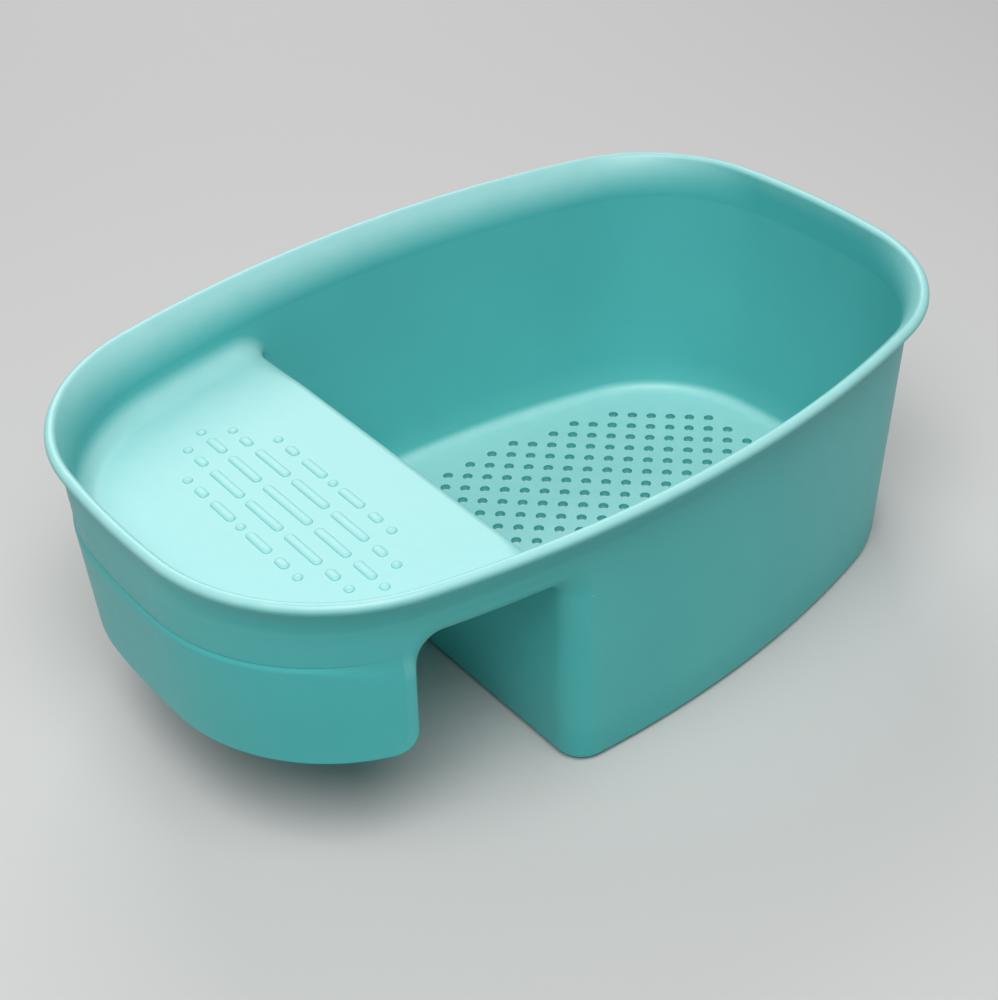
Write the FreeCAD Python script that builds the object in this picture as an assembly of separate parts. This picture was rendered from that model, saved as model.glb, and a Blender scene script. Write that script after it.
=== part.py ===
import FreeCAD, Part
import math
import os
from FreeCAD import Vector

# A saddle caddy for a kitchen sink, moulded in one piece of plastic. The deep basket at +X hangs in one
# bowl, the soap ledge at -X lies over the divider, and the skirt at the far end hangs over its other side.
# Lengths are in millimetres and angles in degrees. The origin is under the middle of the rim, at the base.

# Plan of the rim, seen from above: six arcs that run into each other
overall_length = 300.0
overall_width = 200.0
overall_height = 106.0
widest_x = -3.8
side_radius = 398.0
ledge_end_radius = 346.0
basket_end_radius = 280.0
ledge_corner_radius = 69.0
basket_corner_radius = 62.0

# The walls stand in from the rim, more along the sides than at the ends, and the flare leads out to the lip
side_overhang = 5.8
end_overhang = 1.7
wall_thickness = 2.2
wall_draft = 2.35
flare_height = 16.0
flare_bend_out_share = 0.24
flare_bend_up_share = 0.6
lip_radius = 2.0
lip_slant = 45.0

# Deep basket with its perforated floor
floor_thickness = 2.4
floor_cove_radius = 4.5
base_round_radius = 4.0
floor_land = 0.8
floor_corner_radius = 3.0
hole_width = 4.0
hole_step = 5.55
hole_margin = 9.8
hole_centre_x = 53.3
hole_sides = 8

# Soap ledge over the sink divider
ledge_drop = 25.6
ledge_edge_x = -45.2
ledge_cove_radius = 8.0
ledge_land = 1.0
ledge_edge_share = 0.9

# Raised bars and dots on the ledge: five rows that run across the ledge, the outer two the shortest
bar_rows_x = -88.8
bar_row_pitch = 8.64
bar_width = 3.8
bar_height = 1.0
bar_top_share = 0.7
bar_end_share = 0.45
bar_field_half = 53.0
bar_longest_run = 22.9
centre_row_place_shares = (0.0, 0.48, 0.81, 1.0)
centre_row_run_shares = (1.0, 0.63, 0.30, 0.0)
middle_row_place_shares = (0.0, 0.418, 0.724, 0.886)
middle_row_run_shares = (0.70, 0.665, 0.11, 0.0)
outer_row_place_shares = (0.0, 0.2, 0.447, 0.611)
outer_row_run_shares = (0.0, 0.40, 0.11, 0.0)

# Skirt that hangs from the ledge's outer wall, with the saddle notch beside it
skirt_depth = 39.3
skirt_edge_x = -97.6
skirt_proud = 0.7
skirt_shoulder = 1.4
skirt_corner_radius = 8.0
notch_corner_radius = 10.0
notch_land = 0.4
overrun = 20.0

UP = Vector(0, 0, 1)
draft_angle = math.radians(wall_draft)
draft_slope = math.tan(draft_angle)
skin_across = wall_thickness / math.cos(draft_angle)
half_length = overall_length / 2
half_width = overall_width / 2
wall_top = overall_height - flare_height
ledge_top = overall_height - ledge_drop
ledge_under = ledge_top - wall_thickness
skirt_bottom = ledge_under - skirt_depth


def polar(centre, radius, angle):
    """Point of a profile at an angle on a circle: (inset from the walls' plan, height)."""
    return (centre[0] + radius * math.cos(angle), centre[1] + radius * math.sin(angle))


def outside(z):
    """Inset of the wall's outer face from the walls' plan at height z."""
    return end_overhang + (wall_top - z) * draft_slope


def inside(z):
    """Inset of the wall's inner face from the walls' plan at height z."""
    return outside(z) + skin_across


wall_top_outside = (outside(wall_top), wall_top)
wall_top_inside = (inside(wall_top), wall_top)


def foot_centre(face, level, radius):
    """Centre of an arc that joins a drafted wall face to the level below it."""
    height = level + radius
    return (face(height) + radius / math.cos(draft_angle), height)


base_round = foot_centre(outside, 0, base_round_radius)
floor_cove = foot_centre(inside, floor_thickness, floor_cove_radius)
ledge_cove = foot_centre(inside, ledge_top, ledge_cove_radius)
floor_inset = floor_cove[0] + floor_land
ledge_inset = ledge_cove[0] + ledge_land
riser_corner_radius = floor_inset + floor_corner_radius
riser_x = ledge_edge_x - inside(ledge_under)


class PlanArc:
    """One arc of a plan. Insets are taken inwards, towards its centre."""

    def __init__(self, centre, radius, start, end):
        self.centre = centre
        self.radius = radius
        self.start = start
        self.end = end

    def point(self, inset, angle, z):
        reach = self.radius - inset
        return Vector(self.centre[0] + reach * math.cos(angle), self.centre[1] + reach * math.sin(angle), z)

    def edge(self, inset, z):
        middle = (self.start + self.end) / 2
        ends = [self.point(inset, angle, z) for angle in (self.start, middle, self.end)]
        return Part.Arc(*ends).toShape()

    def mirrored(self):
        return PlanArc((self.centre[0], -self.centre[1]), self.radius, -self.end, -self.start)

    def between(self, start, end):
        return PlanArc(self.centre, self.radius, start, end)

    def depth(self, x, y):
        """Depth of a point inside this arc, or None where the arc doesn't face it."""
        angle = math.atan2(y - self.centre[1], x - self.centre[0])
        turn = (angle - self.start) % math.tau
        if turn > self.end - self.start:
            return None
        return self.radius - math.hypot(x - self.centre[0], y - self.centre[1])


def both(*arcs):
    """Each arc of the back half, and its mirror image on the front half."""
    return [each for arc in arcs for each in (arc, arc.mirrored())]


def bearing(origin, point):
    return math.atan2(point[1] - origin[1], point[0] - origin[0])


def tangent_corner(side_centre, to_side, end_centre, to_end, way):
    """Centre of a corner arc at given distances from the centres of the side arc and the end arc."""
    gap_x = end_centre[0] - side_centre[0]
    gap_y = end_centre[1] - side_centre[1]
    gap = math.hypot(gap_x, gap_y)
    along = (to_side ** 2 - to_end ** 2 + gap ** 2) / (2 * gap)
    across = math.sqrt(to_side ** 2 - along ** 2) * way
    return (
        side_centre[0] + (along * gap_x - across * gap_y) / gap,
        side_centre[1] + (along * gap_y + across * gap_x) / gap,
    )


class Plan:
    """Barrel plan of two end arcs, two side arcs and four corner arcs, each tangent to the next."""

    def __init__(self, long, wide, side, ledge_end, basket_end, ledge_corner, basket_corner):
        self.sizes = (long, wide, side, ledge_end, basket_end, ledge_corner, basket_corner)
        side_at = (widest_x, wide - side)
        ledge_at = (ledge_end - long, 0)
        basket_at = (long - basket_end, 0)
        basket_turn_at = tangent_corner(side_at, side - basket_corner, basket_at, basket_end - basket_corner, -1)
        ledge_turn_at = tangent_corner(side_at, side - ledge_corner, ledge_at, ledge_end - ledge_corner, 1)
        first = bearing(basket_at, basket_turn_at)
        second = bearing(side_at, basket_turn_at)
        third = bearing(side_at, ledge_turn_at)
        fourth = bearing(ledge_at, ledge_turn_at)
        self.basket_end = PlanArc(basket_at, basket_end, -first, first)
        self.basket_corner = PlanArc(basket_turn_at, basket_corner, first, second)
        self.side = PlanArc(side_at, side, second, third)
        self.ledge_corner = PlanArc(ledge_turn_at, ledge_corner, third, fourth)
        self.ledge_end = PlanArc(ledge_at, ledge_end, fourth, math.tau - fourth)

    def inset(self, by):
        return Plan(*[size - by for size in self.sizes])

    def towards(self, other, share):
        """Plan part of the way from this one to another."""
        return Plan(*[a + (b - a) * share for a, b in zip(self.sizes, other.sizes)])

    def arcs(self):
        back = [self.basket_corner, self.side, self.ledge_corner]
        front = [arc.mirrored() for arc in reversed(back)]
        return [self.basket_end] + back + [self.ledge_end] + front

    def wire(self, z):
        return Part.Wire([arc.edge(0, z) for arc in self.arcs()])


rim_plan = Plan(half_length, half_width, side_radius, ledge_end_radius, basket_end_radius,
                ledge_corner_radius, basket_corner_radius)
wall_plan = Plan(half_length, half_width - side_overhang, side_radius - side_overhang, ledge_end_radius,
                 basket_end_radius, ledge_corner_radius, basket_corner_radius)
basket_end = wall_plan.basket_end
basket_corner = wall_plan.basket_corner
side = wall_plan.side
ledge_corner = wall_plan.ledge_corner
ledge_end = wall_plan.ledge_end

# The riser's vertical corners lie against the side arcs, and split them into basket sides and bridge sides
riser_corner_x = riser_x + riser_corner_radius
riser_corner_reach = side.radius - riser_corner_radius
riser_corner_y = side.centre[1] + math.sqrt(riser_corner_reach ** 2 - (riser_corner_x - widest_x) ** 2)
riser_turn = bearing(side.centre, (riser_corner_x, riser_corner_y))
riser_corner = PlanArc((riser_corner_x, riser_corner_y), riser_corner_radius, riser_turn, math.pi)
basket_side = side.between(side.start, riser_turn)
bridge_side = side.between(riser_turn, side.end)


def profile_face(steps, place):
    """Face of a profile: steps are end points, or (point on an arc, end point) pairs, closed at the first."""
    edges = []
    here = steps[0]
    for step in steps[1:] + steps[:1]:
        if isinstance(step[0], tuple):
            through, end = step
            edges.append(Part.Arc(place(*here), place(*through), place(*end)).toShape())
        else:
            end = step
            if end != here:
                edges.append(Part.LineSegment(place(*here), place(*end)).toShape())
        here = end
    return Part.Face(Part.Wire(edges))


def swept(steps, arc):
    """The profile turned about the arc's centre, along the arc."""

    def place(inset, z):
        return arc.point(inset, arc.start, z)

    centre = Vector(arc.centre[0], arc.centre[1], 0)
    turn = math.degrees(arc.end - arc.start)
    return profile_face(steps, place).revolve(centre, UP, turn)


def joined(solids):
    """One solid from pieces that meet face to face."""
    return solids[0].fuse(solids[1:]).removeSplitter()


def ring(steps, arcs):
    return joined([swept(steps, arc) for arc in arcs])


def beside(shape, low_x, high_x):
    """The stretch of a shape between two planes across X."""
    depth = overall_width + 2 * overrun
    height = overall_height + 2 * overrun
    corner = Vector(low_x, -depth / 2, -overrun)
    return shape.common(Part.makeBox(high_x - low_x, depth, height, corner))


def side_view(steps):
    """A side-on profile, in X and Z, carried right across the caddy."""
    start_y = -half_width - overrun
    face = profile_face(steps, lambda x, z: Vector(x, start_y, z))
    return face.extrude(Vector(0, 2 * (half_width + overrun), 0))


def between_turns(centre, radius, start, end):
    """The middle point and the end point of a profile's arc."""
    return (polar(centre, radius, (start + end) / 2), polar(centre, radius, end))


def flared(foot_inset, lip_inset):
    """Solid inside one skin of the flare: it bends out from the top of the walls to the rolled lip."""
    foot = wall_plan.inset(foot_inset)
    lip = rim_plan.inset(lip_inset)
    lip_z = overall_height - lip_radius
    bend_z = wall_top + (lip_z - wall_top) * flare_bend_up_share
    bend = foot.towards(lip, flare_bend_out_share)
    return Part.makeLoft([foot.wire(wall_top), bend.wire(bend_z), lip.wire(lip_z)], True, False)


def make_rim_lip():
    """Full ring: the flare leads the wall outwards, and the rolled lip ends it."""
    half_skin = wall_thickness / 2 / math.cos(math.radians(lip_slant))
    flare = flared(wall_top_outside[0], lip_radius - half_skin)
    flare = flare.cut(flared(wall_top_inside[0], lip_radius + half_skin))
    lip_centre = (lip_radius, overall_height - lip_radius)
    lip_steps = [
        polar(lip_centre, lip_radius, math.tau),
        between_turns(lip_centre, lip_radius, 0, math.pi),
        between_turns(lip_centre, lip_radius, math.pi, math.tau),
    ]
    return joined([flare] + [swept(lip_steps, arc) for arc in rim_plan.arcs()])


wall_foot_angle = math.pi + draft_angle
down_angle = math.pi * 3 / 2


def basket_steps(top_outside, top_inside):
    """Wall of the deep basket: rounded at the base outside, coved to the floor inside."""
    return [
        top_outside,
        polar(base_round, base_round_radius, wall_foot_angle),
        between_turns(base_round, base_round_radius, wall_foot_angle, down_angle),
        (floor_inset, 0),
        (floor_inset, floor_thickness),
        (floor_cove[0], floor_thickness),
        between_turns(floor_cove, floor_cove_radius, down_angle, wall_foot_angle),
        top_inside,
    ]


def make_basket_wall():
    """End and sides of the basket. Above the riser's corners only the upper band runs on to the ledge."""
    tall = basket_steps(wall_top_outside, wall_top_inside)
    band = [
        wall_top_outside,
        (outside(ledge_under), ledge_under),
        (inside(ledge_under), ledge_under),
        wall_top_inside,
    ]
    tall_ring = [swept(tall, arc) for arc in [basket_end] + both(basket_corner, basket_side)]
    bands = [beside(swept(band, arc), ledge_edge_x, half_length) for arc in both(bridge_side)]
    return joined(tall_ring + bands)


def make_saddle_riser():
    """Straight wall of the saddle channel, with rounded vertical corners into the basket's sides."""
    steps = basket_steps(
        (outside(ledge_under), ledge_under),
        (inside(ledge_under), ledge_under),
    )
    face = profile_face(steps, lambda inset, z: Vector(riser_x + inset, -riser_corner_y, z))
    straight = face.extrude(Vector(0, 2 * riser_corner_y, 0))
    return joined([straight] + [swept(steps, arc) for arc in both(riser_corner)])


def make_tray_wall():
    """Wall round the ledge with its cove. Over the channel its lower edge is round, over the skirt square."""
    outer_round = ledge_cove_radius + wall_thickness
    inner_side = [
        (ledge_inset, ledge_under),
        (ledge_inset, ledge_top),
        (ledge_cove[0], ledge_top),
        between_turns(ledge_cove, ledge_cove_radius, down_angle, wall_foot_angle),
        wall_top_inside,
    ]
    rounded = [
        wall_top_outside,
        polar(ledge_cove, outer_round, wall_foot_angle),
        between_turns(ledge_cove, outer_round, wall_foot_angle, down_angle),
    ]
    square = [wall_top_outside, (outside(ledge_under), ledge_under)]
    bridge_x = skirt_edge_x + notch_corner_radius
    over_skirt = [swept(square + inner_side, arc) for arc in [ledge_end] + both(ledge_corner)]
    for arc in both(bridge_side):
        over_skirt.append(beside(swept(square + inner_side, arc), -half_length, bridge_x))
    over_channel = [
        beside(swept(rounded + inner_side, arc), bridge_x, ledge_edge_x)
        for arc in both(bridge_side)
    ]
    return joined(over_skirt + over_channel)


def make_soap_ledge():
    """Flat plate inside the cove, with a rounded edge to the basket."""
    edge_radius = ledge_edge_share * wall_thickness
    edge_centre = (ledge_edge_x - edge_radius, ledge_top - edge_radius)
    limit = side_view([
        (-half_length, ledge_under),
        (ledge_edge_x, ledge_under),
        (ledge_edge_x, edge_centre[1]),
        between_turns(edge_centre, edge_radius, 0, math.pi / 2),
        (-half_length, ledge_top),
    ])
    plate = Part.Face(wall_plan.inset(ledge_inset).wire(ledge_under)).extrude(UP * wall_thickness)
    return plate.common(limit)


def bar_outline(x, y, half_wide, half_long, z):
    """Long octagon: a bar with cut corners."""
    cut = bar_end_share * half_wide * 2
    half_flat = half_wide - cut / 2
    corners = [
        (half_flat, half_long),
        (half_wide, half_long - cut),
        (half_wide, cut - half_long),
        (half_flat, -half_long),
    ]
    corners += [(-across, -along) for across, along in corners]
    return Part.makePolygon([Vector(x + across, y + along, z) for across, along in corners + corners[:1]])


def make_bar(x, y, run):
    half_wide = bar_width / 2
    half_long = (bar_width + run) / 2
    top_half_wide = half_wide * bar_top_share
    top_half_long = half_long - half_wide + top_half_wide
    low = bar_outline(x, y, half_wide, half_long, ledge_top)
    high = bar_outline(x, y, top_half_wide, top_half_long, ledge_top + bar_height)
    return Part.makeLoft([low, high], True, True)


def make_ledge_grip_bars():
    """Five rows, mirrored about the middle one and about the caddy's centre line."""
    rows = [
        (0, centre_row_place_shares, centre_row_run_shares),
        (1, middle_row_place_shares, middle_row_run_shares),
        (2, outer_row_place_shares, outer_row_run_shares),
    ]
    bars = []
    for step, place_shares, run_shares in rows:
        for x in {bar_rows_x - step * bar_row_pitch, bar_rows_x + step * bar_row_pitch}:
            for place, run in zip(place_shares, run_shares):
                for y in {-place * bar_field_half, place * bar_field_half}:
                    bars.append(make_bar(x, y, run * bar_longest_run))
    return Part.makeCompound(bars)


def basket_depth(x, y):
    """How deep a point of the floor lies inside the basket's plan at the rim's edge."""
    arcs = [basket_end] + both(basket_corner, basket_side, riser_corner)
    depths = [arc.depth(x, y) for arc in arcs]
    return min([depth for depth in depths if depth is not None] + [x - riser_x])


def hole_wire(x, y):
    reach = hole_width / 2 / math.cos(math.pi / hole_sides)
    angles = [math.tau * (k + 1 / 2) / hole_sides for k in range(hole_sides)]
    corners = [Vector(x + reach * math.cos(a), y + reach * math.sin(a), 0) for a in angles]
    return Part.makePolygon(corners + corners[:1])


def make_drain_floor():
    """Flat floor with a square lattice of drain holes, turned by 45 degrees."""
    arcs = [basket_end] + both(basket_corner, basket_side, riser_corner)
    edges = [arc.edge(floor_inset, 0) for arc in arcs]
    corner = riser_corner.point(floor_inset, math.pi, 0)
    edges.append(Part.LineSegment(corner, Vector(corner.x, -corner.y, 0)).toShape())
    wires = [Part.Wire(Part.sortEdges(edges)[0])]
    across_steps = math.ceil(half_width / hole_step)
    along_steps = math.ceil(overall_length / hole_step)
    for j in range(-across_steps, across_steps + 1):
        for i in range(-along_steps, along_steps + 1):
            x = hole_centre_x + i * hole_step
            y = j * hole_step
            if (i + j) % 2 == 0 and basket_depth(x, y) >= floor_inset + hole_margin:
                wires.append(hole_wire(x, y))
    face = Part.makeFace(wires, "Part::FaceMakerBullseye")
    print("drain holes:", len(wires) - 1)
    return face.extrude(UP * floor_thickness)


def make_saddle_skirt():
    """Apron round the ledge end, cut to its side view: rounded lower corners and the notch's inner corners."""
    shoulder_z = ledge_under - skirt_shoulder
    steps = [
        (outside(ledge_under), ledge_under),
        (outside(shoulder_z) - skirt_proud, shoulder_z),
        (outside(skirt_bottom) - skirt_proud, skirt_bottom),
        (inside(skirt_bottom) - skirt_proud, skirt_bottom),
        (inside(ledge_under), ledge_under),
    ]
    notch_x = skirt_edge_x + notch_corner_radius
    notch_centre = (notch_x, ledge_under - notch_land - notch_corner_radius)
    corner_centre = (skirt_edge_x - skirt_corner_radius, skirt_bottom + skirt_corner_radius)
    kept = side_view([
        (-half_length, skirt_bottom),
        (corner_centre[0], skirt_bottom),
        between_turns(corner_centre, skirt_corner_radius, -math.pi / 2, 0),
        (skirt_edge_x, notch_centre[1]),
        between_turns(notch_centre, notch_corner_radius, math.pi, math.pi / 2),
        (notch_x, ledge_under),
        (-half_length, ledge_under),
    ])
    return ring(steps, [ledge_end] + both(ledge_corner, bridge_side)).common(kept)


os.makedirs("parts", exist_ok=True)
pieces = {
    "rim_lip": make_rim_lip(),
    "basket_wall": make_basket_wall(),
    "saddle_riser": make_saddle_riser(),
    "drain_floor": make_drain_floor(),
    "tray_wall": make_tray_wall(),
    "soap_ledge": make_soap_ledge(),
    "ledge_grip_bars": make_ledge_grip_bars(),
    "saddle_skirt": make_saddle_skirt(),
}
for name, shape in pieces.items():
    box = shape.BoundBox
    print(name, "solids", len(shape.Solids), "valid", shape.isValid(), "volume", round(shape.Volume, 1),
          "from", [round(v, 2) for v in (box.XMin, box.YMin, box.ZMin)],
          "to", [round(v, 2) for v in (box.XMax, box.YMax, box.ZMax)])
    shape.exportStep("parts/" + name + ".step")
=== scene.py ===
# %% [markdown]
# # A saddle caddy for a kitchen sink
# The real caddy is one moulding in teal plastic. A deep basket hangs in one bowl of the sink, a soap ledge
# lies over the divider, and a skirt hangs on its far side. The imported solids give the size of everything
# here. They are loaded first and stay as a fixed frame, and each step below makes a finer skin for one of
# them.

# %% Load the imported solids
import math

import bmesh
import bpy
import numpy as np
from mathutils import Matrix, Vector


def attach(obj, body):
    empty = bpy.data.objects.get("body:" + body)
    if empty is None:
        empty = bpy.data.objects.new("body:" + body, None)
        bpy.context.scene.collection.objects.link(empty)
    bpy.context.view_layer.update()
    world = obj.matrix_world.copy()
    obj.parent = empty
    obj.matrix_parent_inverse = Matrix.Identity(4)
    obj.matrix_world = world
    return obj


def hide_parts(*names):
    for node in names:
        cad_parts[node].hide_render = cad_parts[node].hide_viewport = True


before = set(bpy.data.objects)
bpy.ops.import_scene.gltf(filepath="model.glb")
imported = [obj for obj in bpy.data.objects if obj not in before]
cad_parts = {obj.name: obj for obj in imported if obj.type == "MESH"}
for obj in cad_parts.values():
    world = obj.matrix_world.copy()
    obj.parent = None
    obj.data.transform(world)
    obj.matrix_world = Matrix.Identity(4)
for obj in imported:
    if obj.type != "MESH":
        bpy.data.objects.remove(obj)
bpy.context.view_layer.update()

# %% [markdown]
# ## Sizes
# Moulded parts are drawn in millimetres, so the lesson keeps them, and one factor turns them into Blender's
# metres. The names follow the drawing of the real part: a rim plan, walls that stand in from it and lean by
# a draft angle, and a flare that leads out to the rolled lip.

# %% Sizes of the moulding
MM = 0.001
QUARTER = math.pi / 2
HEIGHT = 106.0
WIDEST_X = -3.8
SIDE_OVERHANG = 5.8
END_OVERHANG = 1.7
RIM_SIZES = dict(long=150.0, wide=100.0, side=398.0, ledge_end=346.0, basket_end=280.0, ledge_corner=69.0,
                 basket_corner=62.0)
WALL_SIZES = dict(RIM_SIZES, wide=RIM_SIZES["wide"] - SIDE_OVERHANG, side=RIM_SIZES["side"] - SIDE_OVERHANG)
SKIN = 2.2
DRAFT = math.radians(2.35)
FLARE_HEIGHT = 16.0
WALL_TOP = HEIGHT - FLARE_HEIGHT
FLOOR = 2.4
FLOOR_COVE = 4.5
BASE_ROUND = 4.0
LEDGE_DROP = 25.6
LEDGE_TOP = HEIGHT - LEDGE_DROP
LEDGE_UNDER = LEDGE_TOP - SKIN
LEDGE_EDGE_X = -45.2
LEDGE_COVE = 8.0
SKIRT_DEPTH = 39.3
SKIRT_BOTTOM = LEDGE_UNDER - SKIRT_DEPTH
SKIRT_EDGE_X = -97.6
NOTCH = 10.0


def outside(z):
    """Inset of the wall's outer face from the walls' plan."""
    return END_OVERHANG + (WALL_TOP - z) * math.tan(DRAFT)


def inside(z):
    """Inset of the wall's inner face."""
    return outside(z) + SKIN / math.cos(DRAFT)


print("ledge at", LEDGE_TOP, "mm, skirt down to", SKIRT_BOTTOM, "mm")

# %% [markdown]
# ## The plan
# Seen from above, the caddy is a barrel: two end arcs, two long side arcs and four corner arcs, each
# running smoothly into the next. A spline could be drawn by eye, but arcs are what a mould is cut from. A
# ring keeps the centre, radius and direction at many steps round the plan. Any inset of it, at any step, is
# then one sum, and rows of different insets line up on the same radial lines.

# %% Rings of arcs
ARC_STEPS = [120, 200, 400, 240, 160]


def meeting_point(a, reach_a, b, reach_b, way):
    """Point at given distances from two centres, on one side of the line between them."""
    gap = b - a
    length = np.hypot(*gap)
    along = (reach_a ** 2 - reach_b ** 2 + length ** 2) / (2 * length)
    across = math.sqrt(reach_a ** 2 - along ** 2) * way
    return a + (along * gap + across * np.array([-gap[1], gap[0]])) / length


def bearing(origin, point):
    return math.atan2(point[1] - origin[1], point[0] - origin[0])


class Ring:
    """Closed plan of arcs, from the middle of the basket's end, anticlockwise. Steps u run from 0 to size."""

    def __init__(self, long, wide, side, ledge_end, basket_end, ledge_corner, basket_corner):
        side_at = np.array([WIDEST_X, wide - side])
        ledge_at = np.array([ledge_end - long, 0.0])
        basket_at = np.array([long - basket_end, 0.0])
        basket_turn = meeting_point(side_at, side - basket_corner, basket_at, basket_end - basket_corner, -1)
        ledge_turn = meeting_point(side_at, side - ledge_corner, ledge_at, ledge_end - ledge_corner, 1)
        turns = [0.0, bearing(basket_at, basket_turn), bearing(side_at, basket_turn),
                 bearing(side_at, ledge_turn), bearing(ledge_at, ledge_turn), math.pi]
        arcs = list(zip([basket_at, basket_turn, side_at, ledge_turn, ledge_at],
                        [basket_end, basket_corner, side, ledge_corner, ledge_end], turns[:-1], turns[1:]))
        flip = np.array([1.0, -1.0])
        arcs += [(centre * flip, radius, -end, -start) for centre, radius, start, end in reversed(arcs)]
        rows = [(centre, radius, angle)
                for (centre, radius, start, end), count in zip(arcs, ARC_STEPS + ARC_STEPS[::-1])
                for angle in np.linspace(start, end, count, endpoint=False)]
        self.centre = np.array([row[0] for row in rows])
        self.radius = np.array([row[1] for row in rows])
        angle = np.array([row[2] for row in rows])
        self.away = np.stack([np.cos(angle), np.sin(angle)], -1)
        self.size = len(rows)
        self.side_centre = side_at
        self.side_radius = side

    def at(self, u, inset):
        """Plan points at steps u and insets of the same shape."""
        low = np.floor(u).astype(int)
        share = (u - low)[..., None]
        ends = []
        for k in (low % self.size, (low + 1) % self.size):
            ends.append(self.centre[k] + (self.radius[k] - inset)[..., None] * self.away[k])
        return ends[0] * (1 - share) + ends[1] * share

    def step_at_x(self, inset, x):
        """Step on the back half where an inset of the plan crosses x."""
        k = np.arange(self.size // 2)
        return np.interp(-x, -(self.centre[k, 0] + (self.radius[k] - inset) * self.away[k, 0]), k)


rim_ring = Ring(**RIM_SIZES)
wall_ring = Ring(**WALL_SIZES)
steps_at_x = np.vectorize(wall_ring.step_at_x)
print("steps round the plan:", rim_ring.size)

# %% [markdown]
# ## From rows to meshes
# Each piece is a thin shell: a sheet outside, a sheet inside, and narrow strips that join them. One helper
# lays sections side by side along a path, where each section is a closed loop of points, and joins them
# with quads. Ends that don't meet are closed across the wall's thickness. Another gives an open sheet its
# own thickness.

# %% Skins
MERGE = 0.002 * MM
EDGE_FROM = math.radians(60)
SHARP_FROM = math.radians(25)
TINY = 1e-6
FRONT = np.array([1.0, -1.0, 1.0])


def show(name, data):
    """A new object, linked to the scene."""
    made = bpy.data.objects.new(name, data)
    bpy.context.scene.collection.objects.link(made)
    return made


class Skin:
    """Collects points in millimetres and faces, then becomes one closed mesh object."""

    def __init__(self, name):
        self.name = name
        self.points = []
        self.faces = []

    def _ids(self, grid):
        first = len(self.points)
        self.points += [tuple(point) for point in grid.reshape(-1, 3)]
        return first + np.arange(grid.shape[0] * grid.shape[1]).reshape(grid.shape[:2])

    def loops(self, sections, closed=False):
        """Sections of shape (along, around, 3), each a loop that runs back along the other face."""
        ids = self._ids(sections)
        along, around = ids.shape
        for s in range(along if closed else along - 1):
            a, b = ids[s], ids[(s + 1) % along]
            self.faces += [(a[k - 1], a[k], b[k], b[k - 1]) for k in range(around)]
        if not closed:
            for end in (ids[0], ids[-1]):
                self.faces += [(end[k], end[k + 1], end[-2 - k], end[-1 - k]) for k in range(around // 2 - 1)]

    def slab(self, grid, thickness):
        """A sheet of shape (along, across, 3) with a thickness behind it."""
        along = np.gradient(grid, axis=0)
        across = np.gradient(grid, axis=1)
        normal = np.cross(along, across)
        size = np.linalg.norm(normal, axis=-1, keepdims=True)
        normal /= np.maximum(size, TINY)
        normal = np.where(size > TINY, normal, np.roll(normal, -1, axis=0))
        self.loops(np.concatenate([grid, (grid - thickness * normal)[:, ::-1]], axis=1))

    def both_sides(self, grid, thickness):
        """A sheet at the back of the caddy, and its mirror image at the front."""
        self.slab(grid, thickness)
        self.slab((grid * FRONT)[:, ::-1], thickness)

    def piece(self, rounded=None):
        """The mesh object, with smooth shading that breaks at sharp corners."""
        mesh = bpy.data.meshes.new(self.name)
        mesh.from_pydata([tuple(MM * c for c in point) for point in self.points], [], self.faces)
        form = bmesh.new()
        form.from_mesh(mesh)
        bmesh.ops.remove_doubles(form, verts=form.verts, dist=MERGE)
        bmesh.ops.dissolve_degenerate(form, edges=form.edges, dist=MERGE)
        bmesh.ops.recalc_face_normals(form, faces=form.faces)
        if rounded:
            weight = form.edges.layers.float.new("bevel_weight_edge")
            for edge in form.edges:
                middle = (edge.verts[0].co + edge.verts[1].co) / (2 * MM)
                if edge.is_manifold and edge.calc_face_angle() > EDGE_FROM and rounded(middle):
                    edge[weight] = 1.0
        form.to_mesh(mesh)
        form.free()
        mesh.shade_smooth()
        mesh.set_sharp_from_angle(angle=SHARP_FROM)
        return show(self.name, mesh)


# %% Rows and bends
def rows_at(ring, u, inset, z):
    """Points for arrays of steps, insets and heights that fit each other's shape."""
    u, inset, z = np.broadcast_arrays(np.asarray(u, float), np.asarray(inset, float), np.asarray(z, float))
    return np.concatenate([ring.at(u, inset), z[..., None]], -1)


def ease(share):
    """Smooth step from 0 to 1."""
    share = np.clip(share, 0.0, 1.0)
    return share * share * (3 - 2 * share)


def bend(centre, radius, start, end, count):
    """Points of an arc in a profile: (inset or x, z)."""
    angle = np.linspace(start, end, count)
    return np.stack([centre[0] + radius * np.cos(angle), centre[1] + radius * np.sin(angle)], -1)


def foot_centre(face, level, radius):
    """Centre of the arc between a drafted wall and the level below it."""
    return (face(level + radius) + radius / math.cos(DRAFT), level + radius)
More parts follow.
